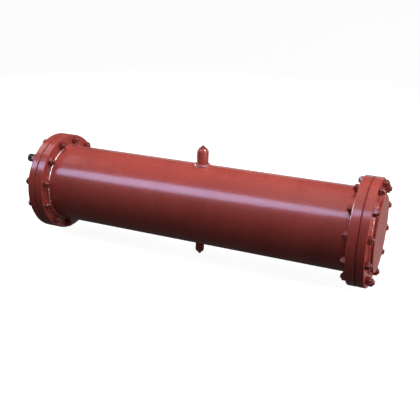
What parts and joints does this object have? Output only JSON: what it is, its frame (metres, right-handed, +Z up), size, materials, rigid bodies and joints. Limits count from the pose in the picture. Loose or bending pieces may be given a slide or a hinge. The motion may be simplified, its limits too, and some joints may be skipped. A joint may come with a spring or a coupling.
{
  "type": "shell and tube heat exchanger",
  "caption": "Horizontal shell and tube heat exchanger: a round steel shell with a bolted cover at each end, water nozzles on one cover, a plugged vent above and a plugged drain below.",
  "frame": {"origin": "on the axis of the round shell, at mid-length between the two flanges", "axes": "+X along the shell towards the plain cover, away from the water nozzles; +Z up through the vent stub"},
  "size_m": [1.338, 0.35, 0.3895],
  "materials": {
    "red_paint": "glossy red oxide paint",
    "bare_steel": "bare drawn steel",
    "gasket_sheet": "dark pressed fibre sheet"
  },
  "bodies": {
    "root": {"shell": "red_paint", "vent_stub": "red_paint", "vent_plug": "red_paint", "vent_weld": "red_paint", "drain_stub": "red_paint", "drain_plug": "red_paint", "drain_weld": "red_paint", "left_tube_sheet": "red_paint", "left_shell_weld": "red_paint", "left_cover_ring": "red_paint", "left_end_plate": "red_paint", "left_end_plate_weld": "red_paint", "left_studs": "red_paint", "left_inner_nuts": "red_paint", "left_outer_nuts": "red_paint", "right_tube_sheet": "red_paint", "right_shell_weld": "red_paint", "right_cover_ring": "red_paint", "right_end_plate": "red_paint", "right_end_plate_weld": "red_paint", "right_studs": "red_paint", "right_inner_nuts": "red_paint", "right_outer_nuts": "red_paint", "upper_nozzle_weld": "red_paint", "lower_nozzle_weld": "red_paint", "tubes": "bare_steel", "upper_nozzle": "bare_steel", "lower_nozzle": "bare_steel", "left_gasket": "gasket_sheet", "right_gasket": "gasket_sheet"}
  },
  "joints": []
}
